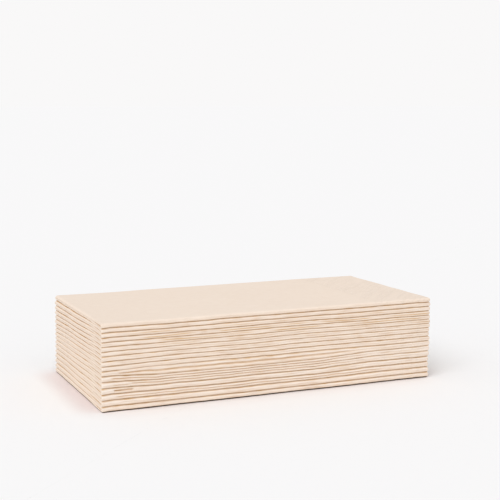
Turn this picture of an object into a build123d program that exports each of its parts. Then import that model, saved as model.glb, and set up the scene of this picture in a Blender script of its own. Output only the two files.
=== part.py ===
from build123d import *
from math import cos, pi, radians, sin, tan
import os

# A stack of paper napkins. Each one is a square sheet of tissue that is folded three times:
#   the first fold halves the sheet,
#   the second halves it again, across the first,
#   the last halves it once more, so that eight layers lie on each other.
# Every napkin lies the same way round:
#   front (-Y)  the last fold, a round nose of four layers, one inside the other
#   left (-X)   the second fold, pressed flat, once above and once below the last one
#   back (+Y)   the first fold above, and the four open edges of the sheet below
#   right (+X)  the open ends of all eight layers
# Millimetres, +Z up. The origin is under the middle of the stack, on the surface it stands on.

# Driving sizes
sheet_side = 400.0  # side of the square sheet
napkin_count = 17  # napkins in the stack
paper = 0.25  # thickness of the sheet, all its plies together
mean_gap = 0.114  # air between two layers of a folded napkin
gap_swing = 0.35  # share by which that air grows and shrinks up the stack
swing_period = 16.0  # napkins from one loosest place to the next
loosest = 3.0  # number of the loosest napkin, counted from the bottom
wander = 0.3  # how far a napkin lies off the middle of the stack
wander_turn = 137.5  # degrees from the direction of one napkin's offset to the next one's

# Small creases that share a fold's half turn: many where it stays round, few where it is pressed flat
round_creases = 10
pressed_creases = 4


def layer_gap(number):
    """Air between the layers of one napkin. The stack is packed tightest above its middle."""
    return mean_gap * (1 + gap_swing * cos(2 * pi * (number - loosest) / swing_period))


def thickness(number):
    """Height of one folded napkin: eight layers, with air between them."""
    return 8 * paper + 7 * layer_gap(number)


def half_turn(radius, creases):
    """The creases of a half turn that starts above the origin, goes round on the left and ends below it."""
    step = 180 / creases
    corner = radius / cos(radians(step / 2))
    angles = [radians(90 + step * (i + 0.5)) for i in range(creases)]
    return [(corner * cos(a), corner * sin(a)) for a in angles]


def turn_length(radius, creases):
    """How much of the sheet such a half turn takes up."""
    return 2 * creases * radius * tan(pi / (2 * creases))


def turned_layer(radius, creases, leg):
    """Section of one layer that turns round the origin, with both its legs along +X."""
    far, near = radius + paper / 2, radius - paper / 2
    outside = [(leg, far), *half_turn(far, creases), (leg, -far)]
    inside = [(leg, near), *half_turn(near, creases), (leg, -near)]
    with BuildLine() as outline:
        Polyline(*outside, *reversed(inside), close=True)
    make_face(outline.line)


def folded_napkin(number, base):
    """One napkin, lying with its underside at the height base."""
    # Radii of the folds, each measured to the middle of the layers that it turns: one, two and four of them
    pitch = paper + layer_gap(number)
    first, second, last = 0.5 * pitch, pitch, 2 * pitch
    outer, inner = second + pitch / 2, second - pitch / 2

    # Straight runs, which are what the folds leave of the sheet
    first_half = turn_length(first, pressed_creases) / 2
    back_run = sheet_side / 4 - first_half - turn_length(last, round_creases) / 2

    def end_run(radius):
        """From the second fold to the open end of the layers that it turns at this radius."""
        return (sheet_side - turn_length(radius, pressed_creases)) / 2

    def edge_run(radius):
        """From the last fold to the open edge of the layer that it turns at this radius."""
        return sheet_side / 2 - first_half - back_run - turn_length(radius, round_creases)

    # Centres of the second and last folds. The napkin's own middle lies a little off the stack's.
    aside = radians(number * wander_turn)
    left = wander * cos(aside) + (outer + paper / 2 - end_run(inner)) / 2
    front = wander * sin(aside) + (last + outer + paper / 2 - edge_run(last - outer)) / 2
    middle = base + thickness(number) / 2

    across = Plane((left, front, middle), x_dir=(0, 1, 0), z_dir=(1, 0, 0))
    back = Plane((left, front + back_run, middle + last), x_dir=(1, 0, 0), z_dir=(0, -1, 0))
    with BuildPart() as napkin:
        for radius in (outer, inner):
            # Two layers, joined by the second fold, go round the last fold to the shorter one's open edge
            short, long = edge_run(last + radius), edge_run(last - radius)
            with BuildLine(across) as route:
                Polyline((back_run, last), *half_turn(last, round_creases), (short, -last))
            with BuildSketch(back) as section:
                turned_layer(radius, pressed_creases, end_run(radius))
            sweep(section.sketch, path=route.line, transition=Transition.RIGHT)
            # The layer that takes the shorter way round the last fold comes out further
            with BuildSketch(Plane((left, front + short, middle - last), x_dir=(1, 0, 0), z_dir=(0, 1, 0))):
                with Locations((0, -radius)):
                    Rectangle(end_run(radius), paper, align=(Align.MIN, Align.CENTER))
            extrude(amount=long - short)
        # The first fold joins both pairs of layers along the back, and goes round the second fold with them
        with BuildLine(back) as route:
            Polyline((end_run(outer), second), *half_turn(second, pressed_creases), (end_run(outer), -second))
        end = back.from_local_coords((end_run(outer), second, 0))
        with BuildSketch(Plane(end, x_dir=(0, -1, 0), z_dir=(-1, 0, 0))) as section:
            turned_layer(first, pressed_creases, 0)
        sweep(section.sketch, path=route.line, transition=Transition.RIGHT)
    return napkin


os.makedirs("parts", exist_ok=True)
height = 0.0
for number in range(1, napkin_count + 1):
    napkin = folded_napkin(number, height)
    napkin.part.label = f"napkin_{number:02d}"
    export_step(napkin.part, f"parts/{napkin.part.label}.step")
    height += thickness(number)
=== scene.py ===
from collections import namedtuple
from math import acos, cos, exp, pi, radians, sin, sqrt

import bpy
import numpy as np
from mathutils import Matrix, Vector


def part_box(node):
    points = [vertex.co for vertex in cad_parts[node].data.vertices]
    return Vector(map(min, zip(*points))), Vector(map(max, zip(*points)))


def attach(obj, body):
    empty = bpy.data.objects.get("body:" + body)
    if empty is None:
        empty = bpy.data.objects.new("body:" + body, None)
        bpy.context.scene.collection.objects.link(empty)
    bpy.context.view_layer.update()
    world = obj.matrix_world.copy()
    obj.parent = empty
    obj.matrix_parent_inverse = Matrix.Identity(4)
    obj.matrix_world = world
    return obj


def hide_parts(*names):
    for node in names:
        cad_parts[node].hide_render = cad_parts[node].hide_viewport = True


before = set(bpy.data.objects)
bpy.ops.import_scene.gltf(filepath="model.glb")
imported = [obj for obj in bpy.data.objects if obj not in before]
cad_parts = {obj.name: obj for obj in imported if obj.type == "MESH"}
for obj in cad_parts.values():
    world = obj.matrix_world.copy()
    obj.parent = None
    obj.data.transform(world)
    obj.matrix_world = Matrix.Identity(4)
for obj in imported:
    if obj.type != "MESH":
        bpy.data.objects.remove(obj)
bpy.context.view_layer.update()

# A stack of folded tissue napkins. Each one is a flat sheet, cut into a fine grid and folded by a formula:
#   u runs across the first fold, from the inner half of the sheet (u < 0) to the outer one (u > 0)
#   v runs across the second fold, from the layers inside the napkin (v < 0) to those outside (v > 0)
# The last fold takes the four layers round a nose at the front, so the panels between the first fold and the
# last one are the napkin's upper half, and those beyond the last one its lower half.
# Metres, +Z up, front at -Y.

SIDE = 0.4  # side of the flat sheet
PAPER = 0.00025  # its thickness
LAYERS = 8  # in a folded napkin
LENGTH = SIDE / 2  # of a folded napkin, from the second fold at the left to the open ends at the right
WIDTH = SIDE / 4  # from the first fold at the back to the last one, measured along the sheet
CLEAR = 0.000015  # kept free above and below each napkin

# From the centre of a fold to the middle of its outermost layer, in pitches from one layer to the next
SECOND_FOLD = 1.5
LAST_FOLD = 3.5

NAPKINS = sorted(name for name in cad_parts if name.startswith("napkin_"))
COUNT = len(NAPKINS)
MEAN_CORNER = [sum(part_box(name)[0][axis] for name in NAPKINS) / COUNT for axis in (0, 1)]
TOGETHER = 0.8  # share of each napkin's offset from that corner that patting the stack has taken away

# Smooth waves: their height and seed, the shortest and longest of them, and how far their phases drift from
# one napkin to the next
Waves = namedtuple("Waves", "height seed shortest longest drift")
SURFACE_WIDE = Waves(0.00016, 21, 0.035, 0.100, 0.7)  # in the surface that a napkin lies on
SURFACE_FINE = Waves(0.00006, 22, 0.012, 0.030, 1.1)
NOSE_POWER = Waves(0.22, 31, 0.006, 0.014, 3)  # in how square the nose is
MIDDLE_DEPTH = Waves(0.00006, 41, 0.012, 0.040, 2)  # in the crease along the nose's middle
MIDDLE_ANGLE = Waves(0.10, 47, 0.020, 0.060, 3)  # in its place round the nose
MIDDLE_CREASE_SHADE = Waves(1, 49, 0.020, 0.070, 3)  # in how strong its painted shade is
CREASE_ANGLE = Waves(0.06, 48, 0.010, 0.030, 3)  # in the places of the other creases
FRONT_WIDE = Waves(0.00013, 42, 0.030, 0.080, 2.5)  # in how far the nose comes out
FRONT_FINE = Waves(0.00005, 43, 0.006, 0.014, 3)
LEFT_OUT = Waves(0.00006, 44, 0.020, 0.060, 2.5)  # and the left end, the back and the right end
BACK_OUT = Waves(0.0003, 45, 0.030, 0.090, 2.5)
RIGHT_OUT = Waves(0.0003, 46, 0.020, 0.060, 2.5)
FRONT_GROOVE_SHADE = Waves(0.25, 51, 0.006, 0.014, 3)  # in how strong the painted shade in the grooves of the front is
LEFT_GROOVE_SHADE = Waves(0.4, 52, 0.008, 0.030, 3)  # and those of the left end
CREST_HIGHLIGHT_WAVES = Waves(0.25, 53, 0.005, 0.020, 3)  # in how strong the painted highlight on the crests is
CLOSING = Waves(0.25, 54, 0.010, 0.040, 3)  # in how far the grooves of the front have closed
IN_A_RIPPLE = 7  # waves


def ripple(waves, level, x, y=None):
    """The sum of some smooth waves of mixed lengths, mostly no higher than the height they are given."""
    random = np.random.default_rng(waves.seed)
    total = 0.0
    for _ in range(IN_A_RIPPLE):
        length = random.uniform(waves.shortest, waves.longest)
        direction = random.uniform(0, pi)
        start = random.uniform(0, 2 * pi)
        turn = random.uniform(-waves.drift, waves.drift)
        along = x if y is None else x * cos(direction) + y * sin(direction)
        total = total + np.sin(2 * pi * along / length + start + turn * level)
    return waves.height * total / sqrt(IN_A_RIPPLE)


def near(distance, reach):
    """1 at an edge, falling softly to 0 at the reach."""
    share = np.clip(1 - distance / reach, 0, 1)
    return share * share * (3 - 2 * share)


def rise(value, low, high):
    """0 below the first value, rising softly to 1 above the second."""
    share = np.clip((value - low) / (high - low), 0, 1)
    return share * share * (3 - 2 * share)


def between(value, start, full, closing, closed):
    """Rises softly from 0 at the start to 1 where it is full, and later falls back as softly."""
    return rise(value, start, full) * (1 - rise(value, closing, closed))


def hump(value, middle, reach):
    """1 at the middle, and softly less on both sides of it."""
    return np.exp(-(((value - middle) / reach) ** 2))


def nose(angle, power):
    """Cosine and sine for a turn whose section is a circle at power 2, and squarer above it."""
    c, s = np.cos(angle), np.sin(angle)
    size = (np.abs(c) ** power + np.abs(s) ** power) ** (-1 / power)
    return c * size, s * size


def layer_pitch(low, high):
    """From one layer of a napkin to the next."""
    return (high.z - low.z - PAPER) / (LAYERS - 1)


def straight_parts(pitch):
    """Half the length of the first fold, and the straight run from there to the last fold."""
    hairpin = pi * pitch / 4
    return hairpin, WIDTH - hairpin - pi * pitch


# The grid

# Steps across the first fold: inner lower panel, last fold, inner upper panel, first fold (two halves),
# outer upper panel, last fold (its start, up to its middle, its middle, and the rest), outer lower panel
STEPS_U = (5, 10, 6, 3, 3, 12, 4, 6, 6, 6, 8)
# Steps across the second fold: layers inside the napkin (far from the fold, then near it), the fold (its
# outer part and its core, on both sides), layers outside (near the fold, then far from it)
STEPS_V = (6, 20, 4, 3, 3, 4, 20, 90)
# The bottom and top napkins show a whole panel, so theirs are finer
STEPS_U_SHOWN = (5, 10, 6, 3, 3, 60, 4, 6, 6, 6, 60)
STEPS_V_SHOWN = (6, 20, 4, 3, 3, 4, 20, 200)
NEAR_FOLD = 0.02  # how far from the second fold the layers count as near it
# Where the parts of the last fold end, in half turns of one pitch
INNER_TURNS = 2.5
OUTER_TURNS = (0.5, 1.47, 2.03, LAST_FOLD)


def spaced(knots, counts):
    """Grid places: each stretch between two knots is cut into its own number of equal steps."""
    places = [knots[0]]
    for start, stop, count in zip(knots, knots[1:], counts):
        places += [start + (stop - start) * step / count for step in range(1, count + 1)]
    return np.array(places)


def grid_places(pitch, shown):
    """Where the grid lines lie on the flat sheet, for a napkin whose layers are a pitch apart."""
    hairpin, run = straight_parts(pitch)
    turn = pi * pitch
    last_fold = hairpin + run
    u_knots = (
        -SIDE / 2,
        -last_fold - INNER_TURNS * turn,
        -last_fold,
        -hairpin,
        0,
        hairpin,
        last_fold,
        *(last_fold + turns * turn for turns in OUTER_TURNS),
        SIDE / 2,
    )
    # Half the length of the second fold, in its outermost and innermost layers
    outer, core = SECOND_FOLD * turn / 2, (2 - SECOND_FOLD) * turn / 2
    v_knots = (-SIDE / 2, -NEAR_FOLD, -outer, -core, 0, core, outer, NEAR_FOLD, SIDE / 2)
    steps_u, steps_v = (STEPS_U_SHOWN, STEPS_V_SHOWN) if shown else (STEPS_U, STEPS_V)
    return spaced(u_knots, steps_u), spaced(v_knots, steps_v)


def flat_grid(shown):
    """The flat sheet in grid units, one unit thick, that napkins are folded from."""
    steps = sum(STEPS_U_SHOWN if shown else STEPS_U), sum(STEPS_V_SHOWN if shown else STEPS_V)
    bpy.ops.object.select_all(action="DESELECT")
    bpy.ops.mesh.primitive_grid_add(x_subdivisions=steps[0], y_subdivisions=steps[1], size=1)
    sheet = bpy.context.object
    sheet.scale = (*steps, 1)
    sheet.location = (steps[0] / 2, steps[1] / 2, 0)
    bpy.ops.object.transform_apply(location=True, rotation=False, scale=True)
    thicken = sheet.modifiers.new("thickness", "SOLIDIFY")
    thicken.thickness = 1
    thicken.offset = 0
    bpy.ops.object.modifier_apply(modifier=thicken.name)
    return sheet


# How the stack lies

GAPING = 7  # number of the napkin whose nose has opened into two lobes, and has pushed its neighbours aside
GAPE = (-0.096, -0.070, 0.020, 0.070)  # where along X it starts, is full, begins to close and is closed
LEAN = 0.0005  # how far the stack leans to the right at its top
ASKEW = 0.0005  # how far the back of the top napkin lies to the right of its front
FOOT_CURL = 0.0004  # how far the lowest sheet curls up along the stack's foot
RAISED = 0.0013  # how far the stack's middle is up, because its lower half is the looser one
SUNK = 0.0021  # how far the back has sunk at the middle of the stack
PUSHED_DOWN = 0.0013  # how far the opened napkin has pushed the one below it
PUSHED_UP = 0.00055  # and the one above it
LIFTED = 0.0006  # how far the front left corner is lifted just below it
BEAD = 0.0006  # depth of the grooves between the beads of the left end
SLIT = 0.0004  # and of the slit near its front corner

# A crease along a napkin's front: where along X it starts, is full, begins to close and is closed,
# its depth, and its height as a share of the napkin's
Crease = namedtuple("Crease", "napkin start full closing closed depth height")
CREASES = (
    Crease(3, -0.0930, -0.0890, 0.0500, 0.0900, 0.0005, 0.50),
    Crease(4, -0.0940, -0.0925, -0.0845, -0.0820, 0.0013, 0.56),
    Crease(5, -0.0960, -0.0920, -0.0860, -0.0840, 0.0004, 0.45),
    Crease(5, -0.0850, -0.0825, 0.0200, 0.0700, 0.0006, 0.58),
    Crease(6, -0.0960, -0.0930, 0.0200, 0.0700, 0.0006, 0.52),
    Crease(GAPING, -0.0925, -0.0890, 0.0200, 0.0700, 0.0007, 0.50),
)
DARKEST_CREASE = 0.00105  # a crease this deep gets painted shade as strong as a groove's


def gape(x, y):
    """How far the opened napkin has opened at each place, from 0 to 1."""
    return between(x, *GAPE) * near(y + WIDTH / 2, 0.03)


def closed_up(groove, x):
    """How far a front groove has closed, from 0 to 1. A groove has the number of the napkin below it."""
    if not 0 < groove < COUNT:
        return np.zeros_like(x)
    # The napkins about the middle of the stack lean on each other, and so do those under the opened one
    leaning = 0.55 * hump(groove, 10.5, 3.2) * (0.45 + 0.55 * rise(x, -0.095, -0.060))
    under = 0.8 * hump(groove, GAPING - 1.6, 1.1) * rise(x, -0.085, -0.065)
    closed = np.maximum(leaning, under)
    if groove == GAPING:  # its upper lobe is pressed flush with the napkin above it
        closed = np.maximum(closed, rise(x, -0.0925, -0.0895) * (1 - 0.7 * rise(x, -0.078, -0.020)))
    return np.clip(closed * (1 + ripple(CLOSING, groove, x)), 0, 1)


def crisp(number):
    """How crisp a napkin's grooves are, from 0 to 1: the most at the stack's foot."""
    return hump(number, 2, 2)


def bedding(level, x, y):
    """How far the surface that napkin number level + 1 lies on is off its flat place."""
    if level == 0:  # the lowest sheet curls up a little along the stack's foot
        inside = np.minimum(LENGTH / 2 - np.abs(x), WIDTH / 2 - np.abs(y))
        return FOOT_CURL * near(inside, 0.014)
    uneven = ripple(SURFACE_WIDE, level, x, y)
    if level < COUNT:
        uneven = uneven + ripple(SURFACE_FINE, level, x, y)
    else:
        uneven = 0.6 * uneven
    uneven = min(1.0, level / 3) * uneven  # the lowest napkins lie on the flat floor

    # The stack is pressed tightest in its upper half, and at the back it has sunk, most about its middle
    up = level / COUNT
    pressed = RAISED * 4 * up * (1 - up) - 0.0003 * sin(2 * pi * up)
    sunk = SUNK * sin(pi * up) - 0.0004 * sin(2 * pi * up) + 0.0008 * up**2
    back = np.clip(y / WIDTH + 0.5, 0, 1)

    # The opened napkin pushes those below it down and those above it up, less the further off they are
    if level < GAPING:
        pushed = -PUSHED_DOWN * exp((level + 1 - GAPING) / 2.6)
    else:
        pushed = PUSHED_UP * exp((GAPING - level) / 1.2)
    left_corner = (1 - rise(x, -0.080, -0.055)) * near(y + WIDTH / 2, 0.04)
    lifted = LIFTED * hump(level, GAPING - 1, 1.3) * left_corner
    return uneven + pressed - sunk * back + pushed * gape(x, y) + lifted


def left_end(number, behind, first):
    """How far a napkin's left end is beaded, and how far its slit has opened, from 0 to 1.

    Both depend on how far behind the front they are. The slit begins to open at the first place given."""
    shift = 0.0035 * sin(2.4 * number)  # each napkin's bead begins at its own place
    faded = 0.7 * hump(number, 8.5, 2.6) * between(behind, 0.040, 0.075, 0.088, 0.096)
    beaded = rise(behind + shift, first + 0.015, first + 0.023) * (1 - faded)
    slit = rise(behind, first, first + 0.002) * (1 - rise(behind + shift, first + 0.010, first + 0.015))
    return beaded, slit


def fold(u, v, n, low, high, number):
    """Carries points of the flat sheet, n off its middle, to where they lie in the folded napkin.

    Also gives how far round the last fold each one is, and how far out, as a share of the outermost layer."""
    pitch = layer_pitch(low, high)
    hairpin, run = straight_parts(pitch)
    left = low.x + SECOND_FOLD * pitch + PAPER / 2
    front = low.y + LAST_FOLD * pitch + PAPER / 2
    middle = (low.z + high.z) / 2

    # First fold: q is how far out of the pair of halves a point lies, and way how far it is from the fold
    turn = u / (pitch / 2)
    side = np.where(u > 0, 1.0, -1.0)
    straight = np.abs(u) > hairpin
    q = np.where(straight, side * (pitch / 2 + n), (pitch / 2 + n) * np.sin(turn))
    q_mid = np.where(straight, side * pitch / 2, pitch / 2 * np.sin(turn))
    way = np.where(straight, np.abs(u) - hairpin, -(pitch / 2 + n) * np.cos(turn))

    # Second fold, at the left end: squarer towards the slit inside the napkin, rounder towards its neighbours
    radius = pitch + q
    radius_mid = pitch + q_mid
    turn = np.clip(v / radius_mid, -pi / 2, pi / 2)
    behind = np.clip(run - way, 0, None)
    beaded, slit = left_end(number, behind, 0.001)
    c, s = nose(turn, np.where(v > 0, 7.0 - 4.4 * beaded, 9.0 - 5.0 * slit))
    past = np.abs(v) - pi * radius_mid / 2
    straight = past > 0
    x = np.where(straight, left + past, left - radius * c)
    w = np.where(straight, np.sign(v) * radius, radius * s)
    w_mid = np.where(straight, np.sign(v) * radius_mid, radius_mid * s)

    # Last fold, at the front
    last = 2 * pitch + w
    last_mid = 2 * pitch + w_mid
    angle = np.clip((way - run) / last_mid, 0, pi)
    power = 2.15 - 0.2 * crisp(number) + ripple(NOSE_POWER, number, x)
    power = power + 2.5 * np.where(angle < pi / 2, closed_up(number, x), closed_up(number - 1, x))
    c, s = nose(angle, power)
    y = front + behind - last * s
    y = y + np.clip(way - run - pi * last_mid, 0, None)
    z = middle + last * c
    return x, y, z, angle, last / (LAST_FOLD * pitch)


def creased(x, angle, left_edge, number):
    """The creases along a napkin's front: their depth at each place, and the painted shade in them, from 0 to
    1.
    """
    # One along the middle of the nose, which opens towards the right
    opened = 0.0001 + ripple(MIDDLE_DEPTH, number, x)
    loose = sin(pi * (number - 0.5) / COUNT)
    opened = np.clip(opened + 0.00018 * loose * rise(x - left_edge, 0.035, 0.08), 0, None)
    on_line = hump(angle + ripple(MIDDLE_ANGLE, number, x), pi / 2, 0.22)
    depth = opened * on_line
    # Painted shade along the middle crease
    crease_shade = 0.12 + 0.55 * hump(number, 13.6, 1.3) if number < COUNT else 0
    crease_shade = np.clip(crease_shade * (1 + ripple(MIDDLE_CREASE_SHADE, number, x)), 0, 0.8)
    crease_shade = crease_shade * rise(x - left_edge, 0.004, 0.020) * on_line

    # And the napkin's own
    for crease in CREASES:
        if crease.napkin != number:
            continue
        place = angle + ripple(CREASE_ANGLE, number, x)
        on_line = hump(place, acos(2 * crease.height - 1), 0.14 + 90 * crease.depth)
        here = between(x, crease.start, crease.full, crease.closing, crease.closed) * on_line
        depth = depth + crease.depth * here
        # A deep crease gets painted shade as well
        crease_shade = np.maximum(crease_shade, here * min(1.0, crease.depth / DARKEST_CREASE))
    return depth, crease_shade


def painted_groove_shade(share, x, y, low, beaded, parted, crease_shade, number):
    """Painted shade: how deep each point lies in the grooves and creases, where the paper is painted darker
    and warmer.
    """
    to_neighbour = np.abs(2 * share - 1)
    if number == COUNT:
        to_neighbour = np.where(share > 0.5, 0, to_neighbour)
    # Painted shade in the grooves between the front noses, less where they have closed
    front = rise(to_neighbour, 0.58, 0.94) * near(y - low.y, 0.0018)
    front = front * (0.85 + 0.15 * crisp(number) + ripple(FRONT_GROOVE_SHADE, number, x))
    front = front * (1 - 0.75 * np.where(share > 0.5, closed_up(number, x), closed_up(number - 1, x)))
    # Painted shade in the grooves and slit of the left end
    sharp = 0.73 + 0.2 * sin(3.7 * number) + 0.28 * hump(number, 13.5, 3)
    end = 0.9 * beaded * rise(to_neighbour, 0.72, 0.96) + 1.5 * parted
    end = end * near(x - low.x, 0.0016) * sharp
    end = end * (0.9 + ripple(LEFT_GROOVE_SHADE, number, y))
    grooves = np.clip(np.maximum(front, end), 0, 1)
    return np.maximum(grooves, crease_shade * near(y - low.y, 0.0040))


def highlighted_crests(share, x, y, low, groove_shade, number):
    """Painted highlight: how far up the two crests of its nose each point lies, where the paper is painted
    paler.
    """
    crest_highlight = (0.45 * rise(share, 0.04, 0.14) + 0.55 * rise(share, 0.58, 0.74)) * (1 - rise(share, 0.85, 0.95))
    crest_highlight = crest_highlight * near(y - low.y, 0.0014)
    paler = 0.54 + 0.62 * hump(number, 4, 3)  # most so in the napkins below the opened one
    crest_highlight = crest_highlight * (paler + ripple(CREST_HIGHLIGHT_WAVES, number, x)) * (1 - groove_shade)
    if number == COUNT:
        crest_highlight = 0.2 * crest_highlight
    return np.clip(crest_highlight, 0, 1)


def settle(x, y, z, angle, depth, low, high, number):
    """Moves the folded napkin's points a little, as the stack has settled and been handled.

    Also gives the painted shade in the grooves and creases, and the painted highlight up the crests."""
    crease, crease_shade = creased(x, angle, low.x, number)
    y = y + depth * crease

    # The nose comes out more here and less there
    y = y + (ripple(FRONT_WIDE, number, x) + ripple(FRONT_FINE, number, x)) * near(y - low.y, 0.012)

    # So do the second folds at the left end, the back, and the open ends at the right
    x = x + ripple(LEFT_OUT, number, y) * near(x - low.x, 0.012)
    y = y + ripple(BACK_OUT, number, x) * near(high.y - y, 0.02)
    x = x + ripple(RIGHT_OUT, number, y) * near(high.x - x, 0.02)

    # The left end of a napkin is one soft bead. Near the front corner the beads are pressed together, and the
    # slit between the napkin's two halves opens instead, a little below its middle
    thickness = high.z - low.z
    share = (z - low.z) / thickness
    behind = y - low.y
    beaded, slit = left_end(number, behind, 0.002)
    parted = slit * hump(share, 0.5, 0.07)
    groove_shade = painted_groove_shade(share, x, y, low, beaded, parted, crease_shade, number)
    crest_highlight = highlighted_crests(share, x, y, low, groove_shade, number)
    bead = BEAD * beaded * np.abs(2 * share - 1) ** 4 + SLIT * parted
    x = x + bead * near(x - low.x, 0.004)

    # Everywhere else the two halves are pressed together there, and the slit is closed
    pitch = layer_pitch(low, high)
    half_gap = (pitch - PAPER) / 2
    middle = (low.z + high.z) / 2
    off = z - middle
    held = near(np.abs(off) - half_gap - PAPER, 1.5 * pitch) * near(x - low.x - 0.002, 0.003) * (1 - slit)
    z = z - np.sign(off) * (half_gap - CLEAR / 2) * held
    lower_slit = near(x - low.x, 0.006) * near(behind, 0.022)
    z = z - 0.2 * thickness * 4 * share * (1 - share) * lower_slit

    # It lies on an uneven napkin, under another
    share = np.clip((z - low.z) / thickness, 0, 1)
    z = middle + (z - middle) * (1 - 2 * CLEAR / thickness)
    z = z + (1 - share) * bedding(number - 1, x, y) + share * bedding(number, x, y)
    x = x + LEAN * number / COUNT
    if number == COUNT:
        x = x + ASKEW * rise(y, -WIDTH / 2, WIDTH / 2)
    return x, y, z, groove_shade, crest_highlight


def piece_name(number):
    """What a folded napkin is called here."""
    return f"tissue_napkin_{number:02d}"


def folded_napkin(flat, number, shown):
    """Copies the flat sheet and folds it where the CAD napkin lies."""
    low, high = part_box(NAPKINS[number - 1])
    low.x, low.y = (TOGETHER * mean + (1 - TOGETHER) * own for mean, own in zip(MEAN_CORNER, low))
    napkin = flat.copy()
    napkin.data = flat.data.copy()
    napkin.name = napkin.data.name = piece_name(number)
    bpy.context.collection.objects.link(napkin)
    mesh = napkin.data
    at = np.empty(len(mesh.vertices) * 3)
    mesh.vertices.foreach_get("co", at)
    at = at.reshape(-1, 3)
    places_u, places_v = grid_places(layer_pitch(low, high), shown)
    u = places_u[np.rint(at[:, 0]).astype(int)]
    v = places_v[np.rint(at[:, 1]).astype(int)]
    x, y, z, angle, depth = fold(u, v, at[:, 2] * PAPER, low, high, number)
    x, y, z, groove_shade, crest_highlight = settle(x, y, z, angle, depth, low, high, number)
    mesh.vertices.foreach_set("co", np.column_stack((x, y, z)).ravel())
    # The painted shade of the grooves and the painted highlight of the crests, for the material
    for name, values in (("groove_shade", groove_shade), ("crest_highlight", crest_highlight)):
        mesh.attributes.new(name, "FLOAT", "POINT").data.foreach_set("value", values.astype(np.float32))

    # The sheet's own coordinates, for the embossing
    corners = np.empty(len(mesh.loops), int)
    mesh.loops.foreach_get("vertex_index", corners)
    while mesh.uv_layers:
        mesh.uv_layers.remove(mesh.uv_layers[0])
    layer = mesh.uv_layers.new(name="sheet")
    layer.data.foreach_set("uv", np.column_stack((u[corners], v[corners])).ravel())
    mesh.update()
    bpy.ops.object.select_all(action="DESELECT")
    napkin.select_set(True)
    bpy.context.view_layer.objects.active = napkin
    bpy.ops.object.shade_smooth_by_angle(angle=radians(40))
    return napkin


# Materials

CREAM = (  # places on the tone's scale, and their colours
    (0.0, (0.740, 0.580, 0.450)),
    (0.25, (0.820, 0.680, 0.567)),
    (0.75, (0.880, 0.757, 0.650)),
)
# Painted highlight on the crests of the front noses
CREST_HIGHLIGHT_TINT = (0.93, 0.885, 0.85)
CREST_HIGHLIGHT_STRENGTH = 0.40
# Painted shade in the grooves and creases, warmer and darker
GROOVE_SHADE_TINT = (0.60, 0.330, 0.07)
GROOVE_SHADE_POWER = 1.25  # above 1, so the painted shade grows slowly at first and is full only in the deepest places
BORDER = 0.036  # width of the embossed border
VEINS = (1 / 420, 1 / 12, 1)  # size of its slanting lines, across and along them
DOTS = 0.0014  # from one dot of its dotted line to the next
STREAKS = (60, 60, 1000)  # streaks per metre, along X, Y and Z

PAPER_WHITE = (0.947, 0.939, 0.939)
FLOOR_SEEN = (0.917, 0.912, 0.917)
# Painted shade and painted contact shadow about the stack's foot, in the colour the camera sees
FLOOR_SHADE = (0.76, 0.665, 0.665)
FLOOR_CONTACT_SHADOW = (0.09, 0.055, 0.035)
FLOOR_BOUNCE = (0.95, 0.92, 0.89)
SHADE_REACH = 0.017  # how far the painted shade about the foot reaches
# It is stronger at the left foot, most about its middle: axis, the two places, and the strength at each
SHADE_STRENGTH = (
    ("X", -0.110, -0.092, 2.6, 1.0),
    ("Y", -0.060, -0.030, 0.6, 1.05),
    ("Y", 0.010, 0.060, 1.0, 0.75),
)


def opaque(colour):
    """The colour with its fourth value, which lets nothing through."""
    return (*colour, 1)


class Nodes:
    """The nodes of a material or world. A node's value is a constant, or the socket that it comes from."""

    def __init__(self, owner):
        owner.use_nodes = True
        self.tree = owner.node_tree
        self.tree.nodes.clear()

    def give(self, socket, value):
        if isinstance(value, bpy.types.NodeSocket):
            self.tree.links.new(value, socket)
        else:
            socket.default_value = value

    def add(self, kind, values=None, **settings):
        """A node with its settings and named inputs."""
        node = self.tree.nodes.new(kind)
        for name, setting in settings.items():
            setattr(node, name, setting)
        for name, value in (values or {}).items():
            self.give(node.inputs[name], value)
        return node

    def math(self, operation, *values):
        node = self.add("ShaderNodeMath", operation=operation)
        for socket, value in zip(node.inputs, values):
            self.give(socket, value)
        return node.outputs[0]

    def weighed(self, *parts):
        """The sum of some values, each times its own weight."""
        total = 0.0
        for value, weight in parts:
            total = self.math("MULTIPLY_ADD", value, weight, total)
        return total

    def smooth(self, value, low, high, start=0.0, stop=1.0):
        """Goes softly from start to stop while the value goes from low to high."""
        values = {"Value": value, "From Min": low, "From Max": high, "To Min": start, "To Max": stop}
        return self.add("ShaderNodeMapRange", values, interpolation_type="SMOOTHSTEP").outputs["Result"]

    def noise(self, place, scale, detail=2.0, roughness=0.5):
        values = {"Vector": place, "Scale": scale, "Detail": detail, "Roughness": roughness}
        return self.add("ShaderNodeTexNoise", values).outputs["Fac"]

    def axes(self, vector):
        return self.add("ShaderNodeSeparateXYZ", {"Vector": vector}).outputs

    def blend(self, share, first, second):
        """From the first colour to the second, as the share goes from 0 to 1."""
        node = self.add("ShaderNodeMix", data_type="RGBA")
        sockets = {socket.identifier: socket for socket in (*node.inputs, *node.outputs)}
        self.give(sockets["Factor_Float"], share)
        self.give(sockets["A_Color"], first)
        self.give(sockets["B_Color"], second)
        return sockets["Result_Color"]

    def camera_or_rest(self, camera, rest):
        """One shader for what the camera sees, and another for all the other light."""
        rays = self.add("ShaderNodeLightPath")
        node = self.add("ShaderNodeMixShader", {"Fac": rays.outputs["Is Camera Ray"]})
        self.give(node.inputs[1], rest)
        self.give(node.inputs[2], camera)
        return node.outputs["Shader"]


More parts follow.
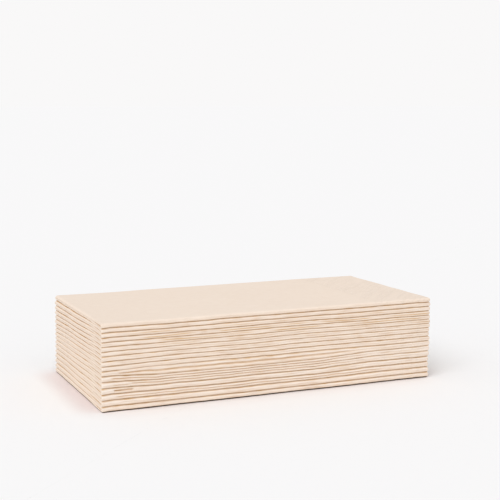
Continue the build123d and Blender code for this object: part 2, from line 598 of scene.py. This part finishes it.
def tissue():
    """Cream tissue paper: soft fibres, a faint mottle, and a border of fine slanting embossed lines."""
    material = bpy.data.materials.new("cream_tissue")
    nodes = Nodes(material)
    math, smooth, noise = nodes.math, nodes.smooth, nodes.noise
    place = nodes.add("ShaderNodeTexCoord").outputs["Object"]
    sheet = nodes.add("ShaderNodeUVMap", uv_map="sheet").outputs["UV"]

    # The embossed border: slanting lines inside a dotted line
    on_sheet = nodes.axes(sheet)
    across = math("ABSOLUTE", on_sheet["X"])
    along = math("ABSOLUTE", on_sheet["Y"])
    inside = math("SUBTRACT", math("MAXIMUM", across, along), SIDE / 2 - BORDER)
    slant = {"Vector": sheet, "Rotation": (0, 0, radians(45)), "Scale": VEINS}
    slanted = nodes.add("ShaderNodeMapping", slant, vector_type="TEXTURE").outputs["Vector"]
    veins = math("ABSOLUTE", math("SUBTRACT", noise(slanted, 1.0, roughness=0.55), 0.5))
    lines = math("MULTIPLY", smooth(veins, 0.0, 0.035, 1.0, 0.0), smooth(inside, -0.0005, 0.0005))
    ring = smooth(math("ABSOLUTE", inside), 0.0, 0.0006, 1.0, 0.0)
    dots = math("SINE", math("MULTIPLY", math("MINIMUM", across, along), 2 * pi / DOTS))
    embossed = math("SUBTRACT", lines, math("MULTIPLY", ring, smooth(dots, -0.2, 0.6)))

    # Streaks along the folds, on the stack's sides, and faintly on its ends and on the top napkin
    facing = nodes.axes(nodes.add("ShaderNodeNewGeometry").outputs["Normal"])
    upright = smooth(math("ABSOLUTE", facing["Z"]), 0.6, 0.97, 1.0, 0.0)
    on_sides = smooth(math("ABSOLUTE", facing["Y"]), 0.15, 0.5, 0.2, 1.0)
    below_top = smooth(nodes.axes(place)["Z"], 0.0450, 0.0462, 1.0, 0.3)
    stretched = nodes.add("ShaderNodeMapping", {"Vector": place, "Scale": STREAKS}).outputs["Vector"]
    streaks = math("SUBTRACT", noise(stretched, 1.0, roughness=0.6), 0.5)
    for share in (upright, on_sides, below_top):
        streaks = math("MULTIPLY", streaks, share)

    fibres = noise(place, 1900.0, 3.0, 0.6)
    mottle = noise(place, 260.0, 3.0, 0.55)
    clouds = noise(place, 34.0)

    # The relief, in metres
    height = nodes.weighed((embossed, 0.00009), (fibres, 0.000003), (mottle, 0.000012), (streaks, 0.00004))
    bump = nodes.add("ShaderNodeBump", {"Strength": 1.0, "Distance": 1.0, "Height": height})

    # The tone, on the scale of the cream colours: it varies about the one at 0.25
    tone = nodes.weighed((mottle, 0.35), (clouds, 0.15), (lines, 0.12), (streaks, 3.2))
    ramp = nodes.add("ShaderNodeValToRGB", {"Fac": math("ADD", tone, 0.25)})
    stops = ramp.color_ramp.elements
    stops.new(0.5)
    for stop, (position, colour) in zip(stops, CREAM):
        stop.position = position
        stop.color = opaque(colour)

    # The noses along the front are painted paler as a highlight, and the grooves between them warmer and
    # darker as painted shade
    crest_highlight = nodes.add("ShaderNodeAttribute", attribute_name="crest_highlight").outputs["Fac"]
    groove_shade = nodes.add("ShaderNodeAttribute", attribute_name="groove_shade").outputs["Fac"]
    colour = nodes.blend(math("MULTIPLY", crest_highlight, CREST_HIGHLIGHT_STRENGTH), ramp.outputs["Color"], opaque(CREST_HIGHLIGHT_TINT))
    colour = nodes.blend(math("POWER", groove_shade, GROOVE_SHADE_POWER), colour, opaque(GROOVE_SHADE_TINT))
    soft = {"Roughness": 0.92, "Specular IOR Level": 0.15, "Sheen Weight": 0.08, "Sheen Roughness": 0.6}
    values = {"Base Color": colour, "Normal": bump.outputs["Normal"], **soft}
    paper = nodes.add("ShaderNodeBsdfPrincipled", values)
    nodes.add("ShaderNodeOutputMaterial", {"Surface": paper.outputs["BSDF"]})
    return material


def floor_paper():
    """Pale paper with a painted warm shade and a painted contact shadow about the stack's foot. The light it
    throws is warmer than it looks.
    """
    material = bpy.data.materials.new("floor_paper")
    nodes = Nodes(material)
    place = nodes.axes(nodes.add("ShaderNodeTexCoord").outputs["Object"])
    openness = nodes.add("ShaderNodeAmbientOcclusion", {"Distance": SHADE_REACH}, samples=16)
    closed = nodes.math("SUBTRACT", 1.0, openness.outputs["AO"])
    shade = closed
    for axis, low, high, start, stop in SHADE_STRENGTH:
        shade = nodes.math("MULTIPLY", shade, nodes.smooth(place[axis], low, high, start, stop))
    colour = nodes.blend(shade, opaque(FLOOR_SEEN), opaque(FLOOR_SHADE))

    # The painted contact shadow where the stack touches the floor is thinner near the front left corner
    thinned = nodes.smooth(place["X"], -0.100, -0.070, 0.58, 0.34)
    colour = nodes.blend(nodes.smooth(closed, thinned, 0.9), colour, opaque(FLOOR_CONTACT_SHADOW))
    seen = nodes.add("ShaderNodeBsdfDiffuse", {"Color": colour}).outputs["BSDF"]
    bounce = nodes.add("ShaderNodeBsdfDiffuse", {"Color": opaque(FLOOR_BOUNCE)}).outputs["BSDF"]
    nodes.add("ShaderNodeOutputMaterial", {"Surface": nodes.camera_or_rest(seen, bounce)})
    return material


# The studio

FLOOR_SIZE = 60
SKY_STRENGTH = 0.70
KEY_STRENGTH = 1.35
KEY_WIDTH = 50  # degrees, as seen from the stack, so its shadows are soft
KEY_TILT, KEY_TURN = 40, -45  # degrees
CAMERA_PLACE = (-0.2602, -0.6166, 0.1626)
CAMERA_DOWN, CAMERA_TURN = 7.429, -23.392  # degrees
FOCAL_LENGTH = 82.01  # millimetres


def floor():
    """A wide pale floor."""
    bpy.ops.object.select_all(action="DESELECT")
    bpy.ops.mesh.primitive_plane_add(size=FLOOR_SIZE)
    ground = bpy.context.object
    ground.name = "floor"
    ground.data.materials.append(floor_paper())


def lights():
    """Soft light from all round, and a broad soft key from the front left."""
    world = bpy.data.worlds.new("studio")
    bpy.context.scene.world = world
    nodes = Nodes(world)
    sky = nodes.add("ShaderNodeBackground", {"Color": (1, 1, 1, 1), "Strength": SKY_STRENGTH})
    backdrop = nodes.add("ShaderNodeBackground", {"Color": opaque(PAPER_WHITE), "Strength": 1.0})
    surface = nodes.camera_or_rest(backdrop.outputs["Background"], sky.outputs["Background"])
    nodes.add("ShaderNodeOutputWorld", {"Surface": surface})

    key = bpy.data.lights.new("key", "SUN")
    key.energy = KEY_STRENGTH
    key.angle = radians(KEY_WIDTH)
    lamp = bpy.data.objects.new("key", key)
    lamp.rotation_euler = (radians(KEY_TILT), 0, radians(KEY_TURN))
    bpy.context.collection.objects.link(lamp)


def camera():
    """The photograph's view: low, from the front left."""
    data = bpy.data.cameras.new("camera")
    data.sensor_width = 36
    data.lens = FOCAL_LENGTH
    data.clip_start = 0.01
    data.clip_end = 200
    viewer = bpy.data.objects.new("camera", data)
    viewer.location = CAMERA_PLACE
    viewer.rotation_euler = (radians(90 - CAMERA_DOWN), 0, radians(CAMERA_TURN))
    bpy.context.collection.objects.link(viewer)
    bpy.context.scene.camera = viewer


camera()
lights()
floor()
finish = tissue()
flat_plain = flat_grid(False)
flat_shown = flat_grid(True)
for number in range(1, COUNT + 1):
    shown = number in (1, COUNT)
    napkin = folded_napkin(flat_shown if shown else flat_plain, number, shown)
    napkin.data.materials.append(finish)
    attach(napkin, "root")
    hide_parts(NAPKINS[number - 1])
for flat in (flat_plain, flat_shown):
    bpy.data.objects.remove(flat)

bpy.context.scene.view_settings.view_transform = "Standard"
bpy.context.view_layer.update()
